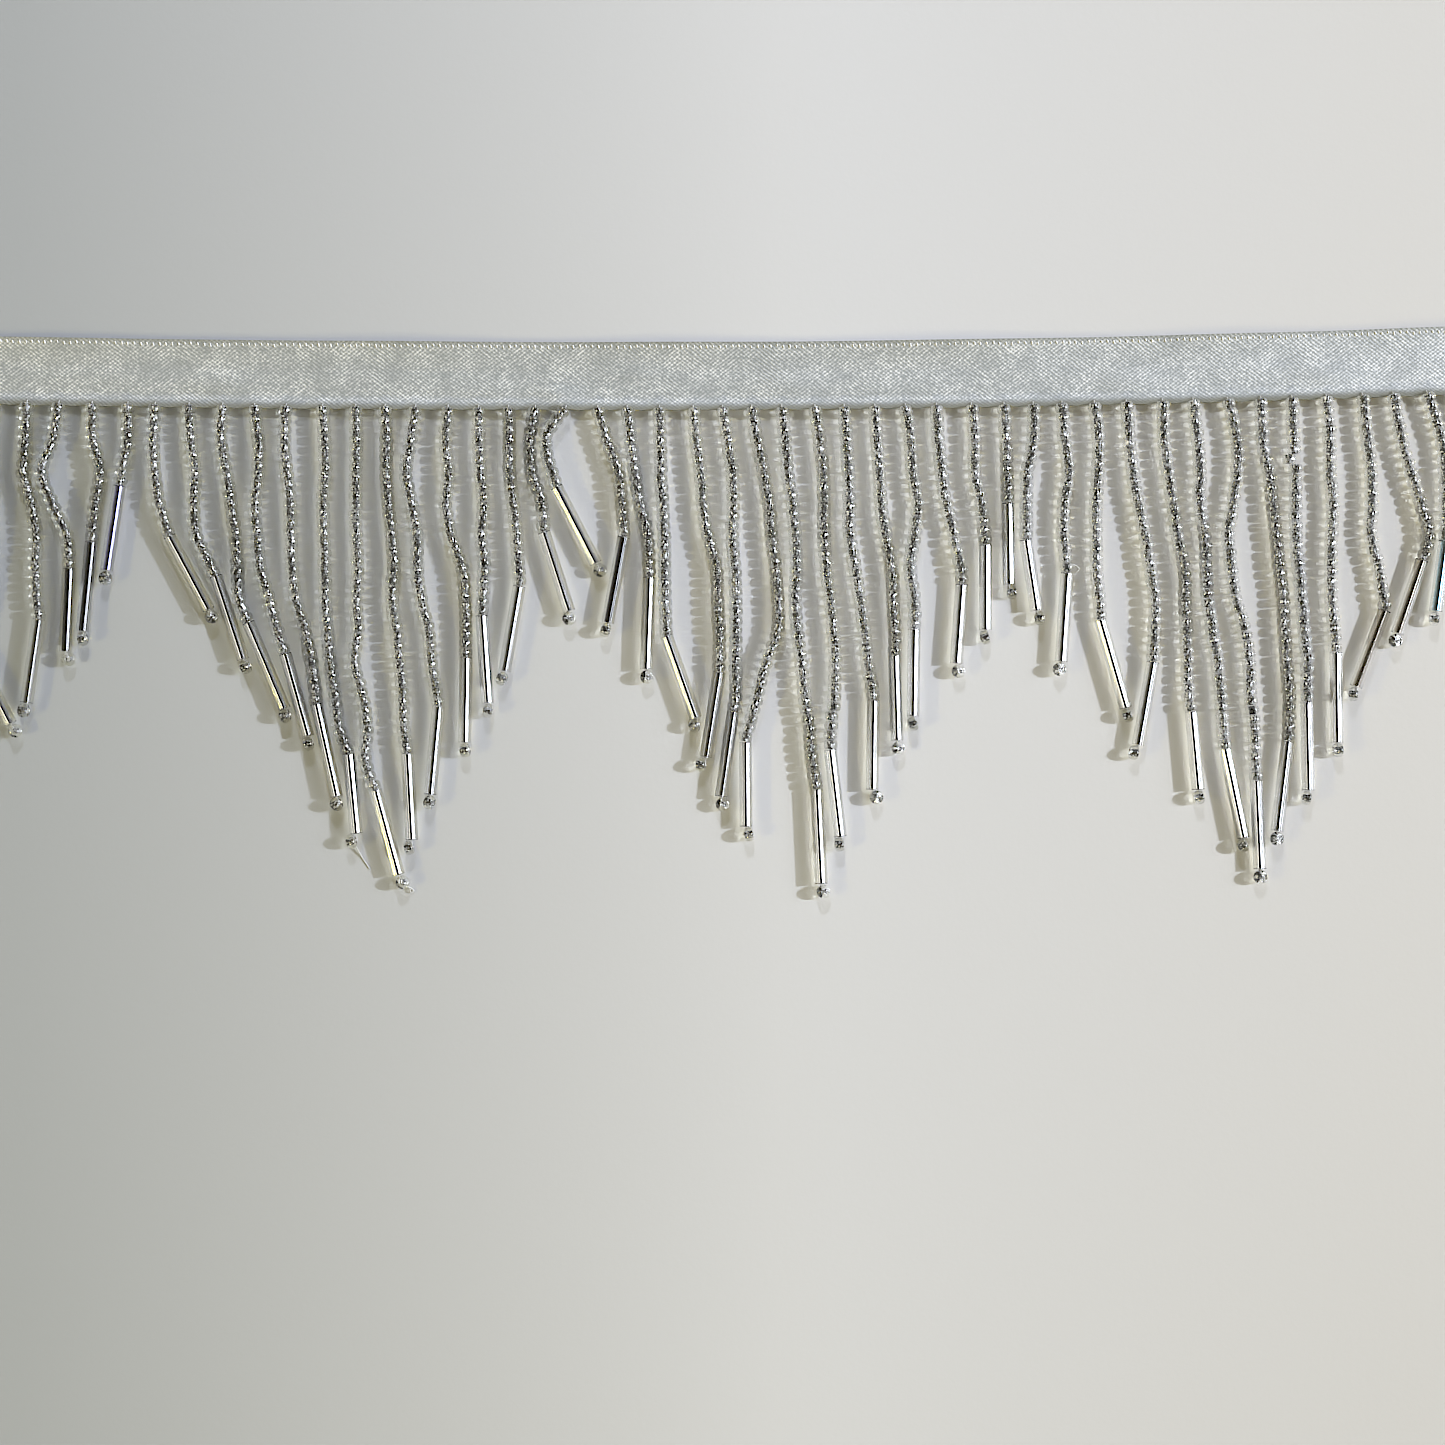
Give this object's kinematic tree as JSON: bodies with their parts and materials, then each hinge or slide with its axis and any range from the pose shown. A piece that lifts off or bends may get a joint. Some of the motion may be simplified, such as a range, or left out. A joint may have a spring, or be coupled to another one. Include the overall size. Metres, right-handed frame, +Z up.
{
  "type": "beaded fringe trim",
  "caption": "Silver satin ribbon trim, laid flat, with a zigzag fringe of silver-lined clear seed beads and bugle beads sewn along its lower edge.",
  "frame": {"origin": "middle of the laid-out trim, on the surface that it rests on", "axes": "+X along the ribbon, -Y from the ribbon towards the strands' tips, +Z up from the surface"},
  "size_m": [0.244, 0.0898, 0.0021],
  "materials": {
    "ribbon_satin": "silvery satin weave",
    "bead_glass": "clear polished glass",
    "bead_lining": "silver lining in the beads' holes",
    "sewing_thread": "fine twisted grey thread"
  },
  "bodies": {
    "root": {"ribbon": "ribbon_satin", "fringe": "bead_glass"}
  },
  "joints": []
}
